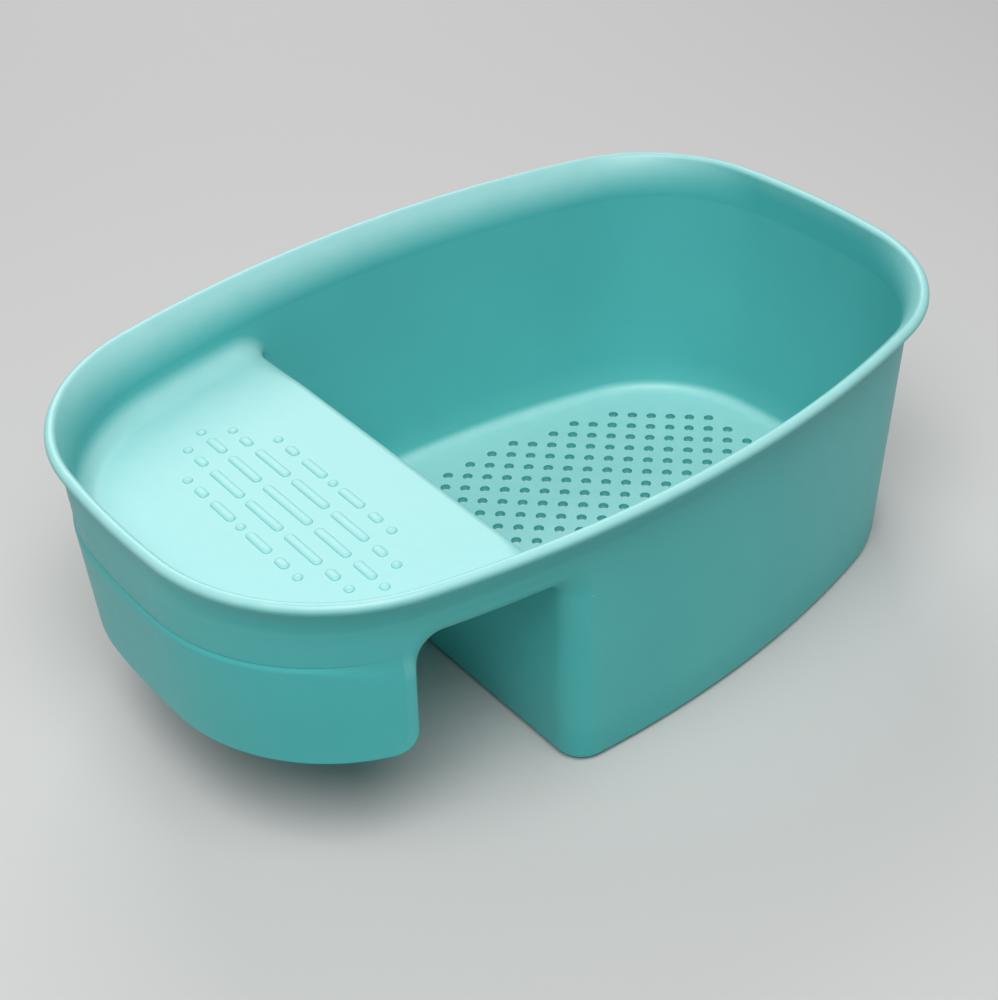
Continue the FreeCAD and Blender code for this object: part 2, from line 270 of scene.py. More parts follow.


# %% [markdown]
# ## The plastic
# The caddy is satin polypropylene in teal. Up close a mould leaves a fine spark-eroded texture, and the colour
# drifts a little where the melt flowed. A painted highlight makes a band at the top of the rim and the tops of
# the ledge's bars paler. A painted sheen mixes every face that looks up towards a paler teal, driven by the
# surface normal, so that top faces look lit. A flat colour would look like paint, so three noises at different
# scales drive colour, roughness and a fine bump. The sums are written as Python expressions on a small class
# that stands for a socket.


# %% Sockets as sums
class Socket:
    """A shader output that can be added, subtracted and multiplied."""

    def __init__(self, tree, output):
        self.tree = tree
        self.output = output

    def node(self, kind, settings, inputs, output=0):
        """Any node: its settings first, then the values or links of its sockets."""
        made = self.tree.nodes.new(kind)
        for name, value in settings.items():
            setattr(made, name, value)
        for name, value in inputs.items():
            if isinstance(value, Socket):
                self.tree.links.new(value.output, made.inputs[name])
            else:
                made.inputs[name].default_value = value
        return Socket(self.tree, made.outputs[output])

    def _sum(self, operation, first, second):
        return self.node("ShaderNodeMath", {"operation": operation}, {0: first, 1: second})

    def __add__(self, other):
        return self._sum("ADD", self, other)

    __radd__ = __add__

    def __sub__(self, other):
        return self._sum("SUBTRACT", self, other)

    def __mul__(self, other):
        return self._sum("MULTIPLY", self, other)

    __rmul__ = __mul__

    def held(self, low, high):
        """The share of the way from low to high, kept between 0 and 1."""
        return self.node("ShaderNodeMapRange", {"clamp": True}, {0: self, 1: low, 2: high, 3: 0.0, 4: 1.0})


# %% Teal plastic
TEAL = (0.056, 0.50, 0.49, 1.0)
TEAL_DEEP = (0.046, 0.455, 0.445, 1.0)
TEAL_PAINTED_HIGHLIGHT = (0.42, 0.78, 0.77, 1.0)
TEAL_PAINTED_SHEEN = (0.34, 0.70, 0.69, 1.0)


def teal_plastic(name, highlight_from, highlight_to, painted_sheen_share=1.0):
    """Satin plastic with a painted sheen on upward faces, and a paler painted highlight band between two
    heights in metres.
    """
    finish = bpy.data.materials.new(name)
    finish.use_nodes = True
    tree = finish.node_tree
    shader = tree.nodes["Principled BSDF"]
    place = Socket(tree, tree.nodes.new("ShaderNodeTexCoord").outputs["Object"])

    def noise(scale, detail):
        return place.node("ShaderNodeTexNoise", {}, {"Vector": place, "Scale": scale, "Detail": detail})

    def mixed(share, first, second):
        return place.node("ShaderNodeMix", {"data_type": "RGBA"}, {0: share, 6: first, 7: second}, 2)

    flow, haze, spark = noise(16.0, 3.0), noise(140.0, 4.0), noise(1700.0, 2.0)
    patchy = haze.held(0.3, 0.7)
    height = place.node("ShaderNodeSeparateXYZ", {}, {"Vector": place}, 2)
    # Painted highlight: a paler band between two heights, at the top of the rim's lip and on the bars' tops;
    # the band is also a little smoother.
    painted_highlight = height.held(highlight_from, highlight_to) * (0.25 + 0.15 * patchy)
    facing = place.node("ShaderNodeNewGeometry", {}, {}, "Normal")
    upward = place.node("ShaderNodeSeparateXYZ", {}, {"Vector": facing}, 2)
    # Painted sheen: faces that look up are mixed towards a paler teal, as if lit from above.
    painted_sheen = upward.held(-0.08, 0.62) * (0.92 + 0.08 * patchy) * painted_sheen_share
    body = mixed(flow.held(0.3, 0.7), TEAL_DEEP, TEAL)
    # The base colour holds the painted sheen and the painted highlight.
    colour_with_painted_light = mixed(painted_highlight, mixed(painted_sheen, body, TEAL_PAINTED_SHEEN), TEAL_PAINTED_HIGHLIGHT)
    roughness = 0.36 + haze * 0.10 - painted_highlight * 0.12
    relief = place.node("ShaderNodeBump", {},
                        {"Strength": 0.10, "Distance": 0.0002, "Height": spark + haze * 0.4})
    for socket, value in {"Base Color": colour_with_painted_light, "Roughness": roughness, "Normal": relief}.items():
        tree.links.new(value.output, shader.inputs[socket])
    shader.inputs["IOR"].default_value = 1.49
    return finish


# Heights in metres of the painted highlight band: the rim's lip, and the tops of the ledge's bars.
PAINTED_HIGHLIGHT_RIM = (0.098, 0.106)
PAINTED_HIGHLIGHT_BARS = (0.0806, 0.0816)
plastic = teal_plastic("teal_plastic", *PAINTED_HIGHLIGHT_RIM)
plastic_ledge = teal_plastic("teal_plastic_ledge", *PAINTED_HIGHLIGHT_BARS)
# The skirt gets only a tenth of the painted sheen on its upward faces.
plastic_skirt = teal_plastic("teal_plastic_skirt", *PAINTED_HIGHLIGHT_RIM, painted_sheen_share=0.1)
print("finishes:", plastic.name, plastic_ledge.name, plastic_skirt.name)


# %% A piece takes its solid's place
def hand_over(piece, node, finish):
    """The piece stands for a solid of the same name, in the record's one finish."""
    if not piece.data.materials:
        piece.data.materials.append(finish)
    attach(piece, "root")
    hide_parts(node)
    print(piece.name, "faces:", len(piece.data.polygons))
    return piece


# %% [markdown]
# ## Rim and lip
# The wall bends outwards to a rolled lip that stiffens the edge. It leans out far on the long sides and
# hardly at the ends. A swept curve keeps one profile all round, so it can't do that. Here each section runs
# from a point of the walls' ring to a point of the rim's ring, and the lip is a round bead at its tip,
# flush with the skin inside.

# %% Rim sections
LIP = 1.9
LIP_TURN = (1.22 * math.pi, 2.5 * math.pi)
LIP_POINTS = 18
FLARE_POWER = 2.3
FLARE_TO_LIP = 0.9
OUTER_POINTS, INNER_POINTS = 14, 33
SETTLE_ROUNDS = 4
RIM_SECTIONS = 320
columns = np.linspace(0, rim_ring.size, RIM_SECTIONS, endpoint=False)
foot = wall_ring.at(columns, np.full(len(columns), outside(WALL_TOP) + SKIN / 2))
lip_at = rim_ring.at(columns, np.full(len(columns), LIP))
away = rim_ring.away[columns.astype(int)]
lip_up = np.full(len(columns), HEIGHT - LIP)
tip, rise = lip_at, lip_up - WALL_TOP
for _ in range(SETTLE_ROUNDS):
    reach = ((tip - foot) * away).sum(-1)
    tilt = np.arctan2(rise, reach * FLARE_POWER)
    tip = lip_at - ((LIP - SKIN / 2) * np.sin(tilt))[:, None] * away
    rise = lip_up + (LIP - SKIN / 2) * np.cos(tilt) - WALL_TOP


def flare_side(sign, shares):
    """One skin of the flare, from its foot to the lip: (columns, shares, 3)."""
    t = shares[None, :]
    lean = reach[:, None] * FLARE_POWER * t ** (FLARE_POWER - 1)
    length = np.hypot(lean, rise[:, None])
    middle = foot[:, None, :] + (tip - foot)[:, None, :] * (t ** FLARE_POWER)[..., None]
    plan = middle + (sign * SKIN / 2 * rise[:, None] / length)[..., None] * away[:, None, :]
    z = WALL_TOP + rise[:, None] * t - sign * SKIN / 2 * lean / length
    return np.concatenate([plan, z[..., None]], -1)


turns = tilt[:, None] + np.linspace(*LIP_TURN, LIP_POINTS)
lip_plan = lip_at[:, None, :] + (LIP * np.cos(turns))[..., None] * away[:, None, :]
lip = np.concatenate([lip_plan, (HEIGHT - LIP + LIP * np.sin(turns))[..., None]], -1)
outer_flare = flare_side(1, np.linspace(0.0, FLARE_TO_LIP, OUTER_POINTS))
inner_flare = flare_side(-1, np.linspace(0.0, 1.0, INNER_POINTS)[:-1])
rim = Skin("rim_lip_skin")
rim.loops(np.concatenate([outer_flare, lip, inner_flare[:, ::-1]], axis=1), closed=True)
hand_over(rim.piece(), "rim_lip", plastic)

# %% [markdown]
# ## Basket wall
# The deep compartment is one drafted wall with a rounded foot outside and a cove to the floor inside.
# Extruding a curve would give upright walls, so the rows step inwards as they go down. Rows end where the
# straight riser's rounded corner begins, and above the ledge the inner rows run on to the ledge's edge.

# %% Riser corner
base_round = foot_centre(outside, 0.0, BASE_ROUND)
floor_cove = foot_centre(inside, FLOOR, FLOOR_COVE)
FLOOR_LAND = 0.8
FLOOR_INSET = floor_cove[0] + FLOOR_LAND
CORNER_PAST_FLOOR = 3.0
CORNER = FLOOR_INSET + CORNER_PAST_FLOOR
RISER_X = LEDGE_EDGE_X - inside(LEDGE_UNDER)
wall_foot = math.pi + DRAFT
down = math.pi * 1.5


def riser_corner(radius):
    """Centre of the riser's vertical corner of a plan radius, and the angle where it leaves the side."""
    x = RISER_X + radius
    reach_in = wall_ring.side_radius - radius
    y = wall_ring.side_centre[1] + math.sqrt(reach_in ** 2 - (x - WIDEST_X) ** 2)
    return np.array([x, y]), bearing(wall_ring.side_centre, (x, y))


def straight(face, heights):
    return [(face(z), z) for z in heights]


CORNER_TOP = 4.6
CORNER_TIGHTER = 4.0
TIGHTENS_FROM = 25.0
OPENS_FROM, OPENS_OVER = 50.0, 26.0
CHANNEL_FILLET = 5.0
fillet_z = LEDGE_UNDER - CHANNEL_FILLET


def corner_radius_outside(z):
    """The corner outside tightens a little on its way up to the bridge."""
    return CORNER - CORNER_TIGHTER * ease((z - TIGHTENS_FROM) / (fillet_z - TIGHTENS_FROM))


def corner_radius_inside(z):
    """The corner inside is as round as the outer one below, and tightens a little under the ledge."""
    return CORNER + (inside(z) + CORNER_TOP - CORNER) * ease((z - OPENS_FROM) / OPENS_OVER)


print("riser's line at x =", round(RISER_X, 2), "mm, corner radius", round(CORNER, 2), "mm")

# %% Rows of the basket wall
FOOT_ROWS = 7
wall_heights = np.array([WALL_TOP, 86.0, 83.0, LEDGE_TOP, 76.5, fillet_z, 70.0, 66.0, 60.0, 52.0, 46.0, 40.0,
                         34.0, 28.0, 18.0])
outer_foot = list(bend(base_round, BASE_ROUND, wall_foot, down, FOOT_ROWS)) + [(FLOOR_INSET, 0.0)]
inner_foot = list(bend(floor_cove, FLOOR_COVE, wall_foot, down, FOOT_ROWS)) + [(FLOOR_INSET, FLOOR)]
outer_rows = np.array(straight(outside, wall_heights) + outer_foot)
inner_rows = np.array(straight(inside, wall_heights) + inner_foot)


def side_step(inset, turn):
    """Step of the walls' ring where a row meets the riser's corner."""
    return wall_ring.step_at_x(inset, WIDEST_X + (wall_ring.side_radius - inset) * math.cos(turn))


EDGE_ROUND = 4.0
SEAM_LAP = 0.0004
TUCK = 0.3
outer_ends = []
for inset, z in outer_rows:
    lap = SEAM_LAP if z >= fillet_z else 0.0
    outer_ends.append(side_step(inset, riser_corner(corner_radius_outside(z))[1] + lap))
inner_ends = []
for inset, z in inner_rows:
    if z >= LEDGE_TOP - EDGE_ROUND:
        inner_ends.append(wall_ring.step_at_x(inset, LEDGE_EDGE_X + CORNER_TOP - TUCK))
    else:
        inner_ends.append(side_step(inset, riser_corner(corner_radius_inside(z))[1]))
print("rows outside and inside:", len(outer_rows), len(inner_rows))

# %% Basket wall
BASKET_SECTIONS = 281
swing = np.linspace(-1, 1, BASKET_SECTIONS)[:, None]
basket = Skin("basket_wall_skin")
basket_outer = rows_at(wall_ring, swing * np.array(outer_ends), outer_rows[:, 0], outer_rows[:, 1])
basket_inner = rows_at(wall_ring, swing * np.array(inner_ends), inner_rows[:, 0], inner_rows[:, 1])
basket.loops(np.concatenate([basket_outer, basket_inner[:, ::-1]], axis=1))
print("basket wall points:", len(basket.points))

# %% [markdown]
# ### Where basket, riser and bridge meet
# Outside, the wall turns into the channel over one soft edge that runs up the riser, round a small inner
# corner and along the bridge. The edge is a quarter round swept along that path in the side view. A bevel
# could not follow a wall that is curved and drafted, so each point takes its depth from the wall's own
# outline.

# %% A quarter round in side view
RAYS = 15
ROUND_COLUMNS = 33
CROWDED_AT_WALL = 1.25
BAND_COLUMNS = 5
corner_shares = np.linspace(0, 1, ROUND_COLUMNS) ** CROWDED_AT_WALL
roll = (QUARTER * (1 - corner_shares[::-1]))[None, :]
spread = np.linspace(0, 1, BAND_COLUMNS)[None, 1:]


def split_turns(start, corner, end):
    """Angles of a fan of rays that has one ray right through a corner."""
    return np.concatenate([np.linspace(start, corner, RAYS), np.linspace(corner, end, RAYS)[1:]])[:, None]


def quarter_round(centre, turns, inner, radius, side, first_depth):
    """A quarter round along an arc in side view, then plain wall as far as a side and the flare's foot.

    Gives x, z and the depth behind the wall's face, with one row for each ray of the fan.
    """
    edge = inner + radius * (1 - np.cos(roll))
    full = np.minimum(side / np.maximum(np.abs(np.cos(turns)), TINY),
                      (WALL_TOP - centre[1]) / np.maximum(np.sin(turns), TINY))
    band = edge[:, -1:] + (full - edge[:, -1:]) * spread
    reach = np.concatenate([np.full_like(radius, inner), edge, band], axis=1)
    depth = np.concatenate([first_depth, radius * (1 - np.sin(roll)), np.zeros_like(band)], axis=1)
    return centre[0] + reach * np.cos(turns), centre[1] + reach * np.sin(turns), depth


print("columns across a round:", roll.size, "and across the plain wall:", spread.size)

# %% Shoulder of the basket wall
fillet_centre = np.array([RISER_X + outside(fillet_z) - CHANNEL_FILLET, fillet_z])
BRIDGE_ROUND = LEDGE_COVE + SKIN
SHOULDER_SKIN = 1.2


def wall_y(x, z):
    """Half width of the wall's outer face at a place on the long side."""
    reach_out = wall_ring.side_radius - outside(z)
    return wall_ring.side_centre[1] + np.sqrt(reach_out ** 2 - (x - wall_ring.side_centre[0]) ** 2)


riser_round = corner_radius_outside(fillet_z) - outside(fillet_z)
corner_at, shoulder_turn = riser_corner(corner_radius_outside(fillet_z))
shoulder_x = corner_at[0] + riser_round * math.cos(shoulder_turn)
shoulder_side = shoulder_x - fillet_centre[0]
path_turns = split_turns(0, math.atan2(WALL_TOP - fillet_z, shoulder_side), QUARTER)
round_here = riser_round + (BRIDGE_ROUND - riser_round) * ease(path_turns / QUARTER)
shoulder_px, shoulder_pz, depths = quarter_round(fillet_centre, path_turns, CHANNEL_FILLET, round_here,
                                                 shoulder_side, round_here + CHANNEL_FILLET)
shoulder_py = wall_y(shoulder_px, shoulder_pz) - depths
shoulder = np.stack([shoulder_px, shoulder_py, shoulder_pz], -1)
corner_angle = math.pi + (shoulder_turn - math.pi) * roll[0] / QUARTER
corner_row = np.stack([corner_at[0] + riser_round * np.cos(corner_angle),
                       corner_at[1] + riser_round * np.sin(corner_angle), np.full(roll.size, fillet_z)], -1)
miss = corner_row - shoulder[0, 1:1 + roll.size]
miss = np.concatenate([miss[:1], miss, miss[-1] * (1 - spread.T)])
shoulder += miss[None] * (1 - ease(path_turns / QUARTER))[..., None]
basket.both_sides(shoulder, SHOULDER_SKIN)
hand_over(basket.piece(), "basket_wall", plastic)

# %% [markdown]
# ## Saddle riser
# The riser is the wall between the channel and the basket. It is straight, and bends round at both ends
# into the basket's sides. Its rows repeat the basket's profile, so the two skins run on without a step. A
# thin strip of its own rounds the riser into the underside of the bridge, and ends where the shoulder's
# soft edge takes over.

# %% Saddle riser
SHEET = 1.0
LAP = 0.05
RUN_POINTS = 41
STRIP_SECTIONS = 21
# Outer and inner rows are equal in number, so that the ends close straight across the wall.
TOP_ROWS = 7
OUTER_GAP, INNER_GAP = 0.5, 3.0
riser_heights = wall_heights[wall_heights < fillet_z]
outer_top = np.linspace(fillet_z, riser_heights[0] + OUTER_GAP, TOP_ROWS - 1)
inner_top = np.linspace(LEDGE_TOP - EDGE_ROUND + LAP, riser_heights[0] + INNER_GAP, TOP_ROWS)
riser_outer = np.array([(outside(fillet_z) + SHEET, fillet_z)] + straight(outside, outer_top)
                       + straight(outside, riser_heights) + outer_foot)
riser_inner = np.array(straight(inside, inner_top) + straight(inside, riser_heights) + inner_foot)


def riser_row(inset, z, radius, shares):
    """One row of the riser from the back side, round the corner, along the channel and round to the front."""
    centre, turn = riser_corner(radius)
    angle = turn + (math.pi - turn) * shares
    corner = centre + (radius - inset) * np.stack([np.cos(angle), np.sin(angle)], -1)
    run = np.linspace(1, -1, RUN_POINTS)[1:-1] * corner[-1, 1]
    middle = np.stack([np.full(len(run), corner[-1, 0]), run], -1)
    plan = np.concatenate([corner, middle, corner[::-1] * np.array([1.0, -1.0])])
    return np.concatenate([plan, np.full((len(plan), 1), z)], -1)


riser_rows = [riser_row(inset, z, corner_radius_outside(z), corner_shares) for inset, z in riser_outer]
riser_rows += [riser_row(inset, z, corner_radius_inside(z), corner_shares) for inset, z in riser_inner[::-1]]
riser = Skin("saddle_riser_skin")
riser.loops(np.stack(riser_rows, axis=1))
BEHIND_SHOULDER = 0.02
SHORT_OF_ROUND = 0.5
fillet_line = bend(fillet_centre, CHANNEL_FILLET + BEHIND_SHOULDER, QUARTER, 0.0, RAYS)
fillet_end = wall_y(fillet_line[:, 0], fillet_line[:, 1]) - BRIDGE_ROUND - SHORT_OF_ROUND
fillet_run = np.linspace(-1, 1, STRIP_SECTIONS)[:, None] * fillet_end
fillet_x, fillet_up = (np.broadcast_to(values, fillet_run.shape) for values in fillet_line.T)
riser.slab(np.stack([fillet_x, fillet_run, fillet_up], -1), SHEET)
hand_over(riser.piece(), "saddle_riser", plastic)

# %% [markdown]
# ## Tray wall
# Round the ledge the wall is low: a cove inside, and outside a lower edge that is rounded where it bridges
# the channel and square where the skirt hangs from it. The rounding's radius changes along the path, which
# a modifier can't do, so each section works out its own.

# %% Outer rows of the tray wall
TRAY_SECTIONS = 241
SKIRT_FADE = 25.0
SQUARE_EDGE = 0.02
SKIRT_GROOVE = 0.25
BEHIND_STRIP = 0.15
ROUND_PAST_EDGE = 1.5
STRIP_REACH = 3.0
MID_WALL = 0.6
span = np.linspace(0, 1, TRAY_SECTIONS)[:, None]


def ledge_steps(ends):
    """Steps from the back end of each row, round the ledge, to its front end."""
    ends = np.asarray(ends)[None, :]
    return ends + (wall_ring.size - 2 * ends) * span


ledge_cove = foot_centre(inside, LEDGE_TOP, LEDGE_COVE)
COVE_ROWS = 19
# Four more rows stand outside and one inside, which makes both sides equal.
roll_rows = np.linspace(QUARTER, 0, COVE_ROWS - 3)
bridge_end = wall_ring.step_at_x(outside(WALL_TOP), fillet_centre[0])
outer_steps = ledge_steps(np.full(len(roll_rows) + 4, bridge_end))
track_x = wall_ring.at(outer_steps[:, 0], np.full(len(span), outside(LEDGE_UNDER)))[:, 0:1]
to_notch = ease((SKIRT_EDGE_X - track_x) / SKIRT_FADE)
round_at = np.where(track_x > SKIRT_EDGE_X - ROUND_PAST_EDGE, BRIDGE_ROUND,
                    SQUARE_EDGE + SKIRT_GROOVE * to_notch)
set_back = BEHIND_STRIP * ((track_x > SKIRT_EDGE_X - STRIP_REACH) & (track_x < SKIRT_EDGE_X + NOTCH))
flat = np.ones_like(track_x)
mid_wall = LEDGE_UNDER + round_at + (WALL_TOP - LEDGE_UNDER - round_at) * MID_WALL
tray_z = np.concatenate([flat * WALL_TOP, mid_wall, LEDGE_UNDER + round_at * (1 - np.cos(roll_rows)),
                         flat * LEDGE_UNDER, flat * LEDGE_UNDER], axis=1)
tray_inset = END_OVERHANG + (WALL_TOP - tray_z) * math.tan(DRAFT) + set_back
tray_inset[:, 2:-2] += round_at * (1 - np.sin(roll_rows))
tray_inset[:, -2] = (tray_inset[:, -3] + ledge_cove[0]) / 2
tray_inset[:, -1] = ledge_cove[0] + LAP
tray_outer = rows_at(wall_ring, outer_steps, tray_inset, tray_z)
print("outer rows of the tray wall:", tray_outer.shape[1])

# %% Tray wall
EDGE_LONG = 6.0
EDGE_AT_WALL = EDGE_ROUND + EDGE_LONG
cove_bend = bend(ledge_cove, LEDGE_COVE, wall_foot, down, COVE_ROWS)
cove_rows = np.array([(inside(WALL_TOP), WALL_TOP)] + list(cove_bend))
cove_ends = steps_at_x(cove_rows[:, 0], LEDGE_EDGE_X - EDGE_AT_WALL + LAP)
tray_inner = rows_at(wall_ring, ledge_steps(cove_ends), cove_rows[:, 0], cove_rows[:, 1])
tray = Skin("tray_wall_skin")
tray.loops(np.concatenate([tray_outer, tray_inner[:, ::-1]], axis=1))
print("tray wall points:", len(tray.points))

# %% [markdown]
# ### The tray's open end
# Towards the basket the cove bends over the ledge's edge and runs on as the riser's inner corner. A
# toolmaker gets this form with a ball-nosed cutter that follows the edge. The sheet does the same: at each
# place of the edge's profile an arc stands square to it, from the wall to the profile, and its radius
# shrinks on the way down.

# %% Ends of the cove
UNDER_LEDGE = 0.1
EDGE_COLUMNS = 30
over_edge = np.linspace(0, QUARTER, EDGE_COLUMNS)[None, :]
profile_x = LEDGE_EDGE_X - EDGE_AT_WALL * (1 - np.sin(over_edge))
profile_z = LEDGE_TOP - EDGE_ROUND * (1 - np.cos(over_edge))
square_x, square_z = EDGE_ROUND * np.sin(over_edge), EDGE_AT_WALL * np.cos(over_edge)
square = np.hypot(square_x, square_z)
cutter = LEDGE_COVE + (CORNER_TOP - LEDGE_COVE) * ease(over_edge / QUARTER)
web_angle = np.linspace(wall_foot, down, COVE_ROWS)[:, None]
lifted = cutter * (1 + np.sin(web_angle))
web_x = profile_x + lifted * square_x / square
web_z = profile_z + lifted * square_z / square
cutter_inset = inside(profile_z + cutter * square_z / square) + cutter / math.cos(DRAFT)
web_inset = np.concatenate([np.full_like(over_edge, inside(WALL_TOP)),
                            cutter_inset + cutter * np.cos(web_angle),
                            np.full_like(over_edge, ledge_cove[0] + UNDER_LEDGE)])
web_x = np.concatenate([web_x[:1], web_x, profile_x])
web_z = np.concatenate([np.full_like(over_edge, WALL_TOP), web_z, profile_z])
web = rows_at(wall_ring, steps_at_x(web_inset, web_x), web_inset, web_z)
tray.both_sides(web, SHEET)
print("points with the cove's ends:", len(tray.points))

# %% [markdown]
# ### Notch and free edge of the skirt
# At the notch the bridge's rounded edge runs down into the skirt's thin free edge, and its radius shrinks
# on the way. It is the same kind of sweep as the shoulder: a quarter round that follows the notch's arc in
# side view, then the skirt's free edge and its lower corner. The skirt's proud face fades into the wall
# there, over a longer slope.

# %% Notch
SKIRT_PROUD = 0.7
CREASE = 1.4
FADE_FROM = 2.0
STRIP = 4.0
EDGE_SOFT = 1.8


def skirt_inset(x, z):
    """Inset of the skirt's outer face. Its step below the ledge widens towards the notch until it is gone."""
    slope = CREASE + (NOTCH - CREASE) * (1 - ease((SKIRT_EDGE_X - FADE_FROM - x) / SKIRT_FADE))
    return END_OVERHANG + (WALL_TOP - z) * math.tan(DRAFT) - SKIRT_PROUD * ease((LEDGE_UNDER - z) / slope)


notch_centre = np.array([SKIRT_EDGE_X + NOTCH, LEDGE_UNDER - NOTCH])
patch_left = NOTCH + STRIP
notch_turns = split_turns(math.pi, math.atan2(WALL_TOP - notch_centre[1], -patch_left), QUARTER)
grown = ease((math.pi - notch_turns) / QUARTER)
notch_round = EDGE_SOFT + (BRIDGE_ROUND - EDGE_SOFT) * grown
underside = SKIN + (ledge_cove[0] - SKIN) * grown
strip_x, strip_z, depths = quarter_round(notch_centre, notch_turns, NOTCH, notch_round, patch_left, underside)
print("notch centre in mm:", notch_centre)

# %% Edge strip of the notch and the skirt
LOWER_CORNER = 8.0
LOWER_SOFT = 0.8
STRIP_SKIN = 1.6
LOW_ROWS, DOWN_ROWS = 13, 12
low_turns = np.linspace(-QUARTER, 0.0, LOW_ROWS)[:-1, None]
down_z = np.linspace(SKIRT_BOTTOM + LOWER_CORNER, LEDGE_UNDER - NOTCH, DOWN_ROWS)[:-1, None]
soft = np.concatenate([LOWER_SOFT + (EDGE_SOFT - LOWER_SOFT) * ease(1 + low_turns / QUARTER),
                       np.full_like(down_z, EDGE_SOFT)])
edge_in = np.concatenate([0 * soft, soft * (1 - np.cos(roll)), soft + (STRIP - soft) * spread], axis=1)
edge_depth = np.concatenate([0 * soft + SKIN, soft * (1 - np.sin(roll)), 0 * soft * spread], axis=1)
low_x = SKIRT_EDGE_X - LOWER_CORNER + (LOWER_CORNER - edge_in[:len(low_turns)]) * np.cos(low_turns)
low_z = SKIRT_BOTTOM + LOWER_CORNER + (LOWER_CORNER - edge_in[:len(low_turns)]) * np.sin(low_turns)
strip_x = np.concatenate([low_x, SKIRT_EDGE_X - edge_in[len(low_turns):], strip_x])
strip_z = np.concatenate([low_z, np.repeat(down_z, edge_in.shape[1], axis=1), strip_z])
depths = np.concatenate([edge_depth, depths])
strip_inset = skirt_inset(strip_x, strip_z)
strip = rows_at(wall_ring, steps_at_x(strip_inset, strip_x), strip_inset, strip_z)
strip[..., 1] -= depths
tray.both_sides(strip[:, ::-1], STRIP_SKIN)
hand_over(tray.piece(), "tray_wall", plastic)

# %% [markdown]
# ## Soap ledge
# The ledge is a flat plate over the sink's divider, with a soft edge down to the riser. Its outline is the
# walls' ring again, so each station along the length takes its half width from it. The profile bends over
# the edge in a quarter of an ellipse, which grows longer towards the walls.

# %% Soap ledge
FLAT_STEPS = 60
LEDGE_SECTIONS = 71
EDGE_POINTS = 19
EDGE_CROWDED = 1.4
LONGER_FROM, LONGER_OVER = 0.70, 0.30
UNDER_SHARE = 0.7
FAR_LAP = 0.02
half_steps = np.arange(wall_ring.size // 2, dtype=float)
half_ring = wall_ring.at(half_steps, np.full(half_steps.size, ledge_cove[0] - UNDER_LEDGE))
ledge_far_x = half_ring[:, 0].min() + FAR_LAP
sideways = np.sin(np.linspace(-QUARTER, QUARTER, LEDGE_SECTIONS))[:, None]
edge_here = EDGE_ROUND + EDGE_LONG * ease((np.abs(sideways) - LONGER_FROM) / LONGER_OVER)
flat_x = ledge_far_x + (LEDGE_EDGE_X - edge_here - ledge_far_x) * np.linspace(0, 1, FLAT_STEPS) ** 2
edge_turn = (QUARTER * np.linspace(0, 1, EDGE_POINTS) ** EDGE_CROWDED)[None, 1:]
edge_x = LEDGE_EDGE_X - edge_here * (1 - np.sin(edge_turn))
edge_z = LEDGE_TOP - EDGE_ROUND * (1 - np.cos(edge_turn))
under_turn = LEDGE_EDGE_X - EDGE_ROUND
share = np.linspace(0, 1, edge_turn.size // 2)
level_run = flat_x[:, -1:] + (under_turn - flat_x[:, -1:]) * share
down_run = under_turn + (LEDGE_EDGE_X - SKIN * UNDER_SHARE - under_turn) * share
under_x = np.concatenate([flat_x, level_run, np.broadcast_to(down_run, level_run.shape)], axis=1)
under_z = np.concatenate([np.full(FLAT_STEPS + share.size, LEDGE_UNDER),
                          LEDGE_UNDER + (LEDGE_TOP - EDGE_ROUND - UNDER_LEDGE - LEDGE_UNDER) * share])
ledge_x = np.concatenate([flat_x, edge_x, under_x[:, ::-1]], axis=1)
ledge_z = np.concatenate([np.full(FLAT_STEPS, LEDGE_TOP), edge_z[0], under_z[::-1]])
half_width = np.interp(-ledge_x, -half_ring[:, 0], half_ring[:, 1])
ledge = Skin("soap_ledge_skin")
ledge.loops(np.stack([ledge_x, sideways * half_width, np.broadcast_to(ledge_z, ledge_x.shape)], -1))
hand_over(ledge.piece(), "soap_ledge", plastic_ledge)

# %% [markdown]
# ## Saddle skirt
# The skirt hangs round the ledge's end over the far side of the divider. It starts at a small shoulder, so
# it stands proud of the wall above. Its free edges are trimmed in side view, with a round lower corner.
# Each row tucks in under the edge strip, and a Bevel modifier with edge weights softens the lower edge.

# %% Saddle skirt
SKIRT_TUCK = 1.2
CORNER_ROWS = 7
LOWEST = 0.1
strip_arc = SKIRT_BOTTOM + LOWER_CORNER - (LOWER_CORNER - STRIP) * np.sin(np.linspace(0, QUARTER, CORNER_ROWS))
crease_z = [LEDGE_UNDER, 77.95, 77.6, 77.2, 76.8, 76.0, 75.0, 73.5, 72.0, 70.0, 68.0, 64.0, 60.0, 53.0]
skirt_z = np.concatenate([crease_z, strip_arc, [42.0, 41.2, 40.3, 39.6, SKIRT_BOTTOM]])


def skirt_end(z, tuck):
    """Where a row of the skirt meets its edge strip, or tucks in under it, in side view."""
    low = max(SKIRT_BOTTOM + LOWER_CORNER - z, 0.0)
    return SKIRT_EDGE_X - LOWER_CORNER + math.sqrt(max((LOWER_CORNER - STRIP) ** 2 - low ** 2, 0.0)) + tuck


def skirt_track(face):
    """Steps of each row: tucked end, the seen part, tucked end."""
    seen, tucked = (np.array([[wall_ring.step_at_x(face(z), skirt_end(z, tuck)) for z in skirt_z]])
                    for tuck in (-LAP, SKIRT_TUCK))
    return np.concatenate([tucked, seen + (wall_ring.size - 2 * seen) * span, wall_ring.size - tucked])


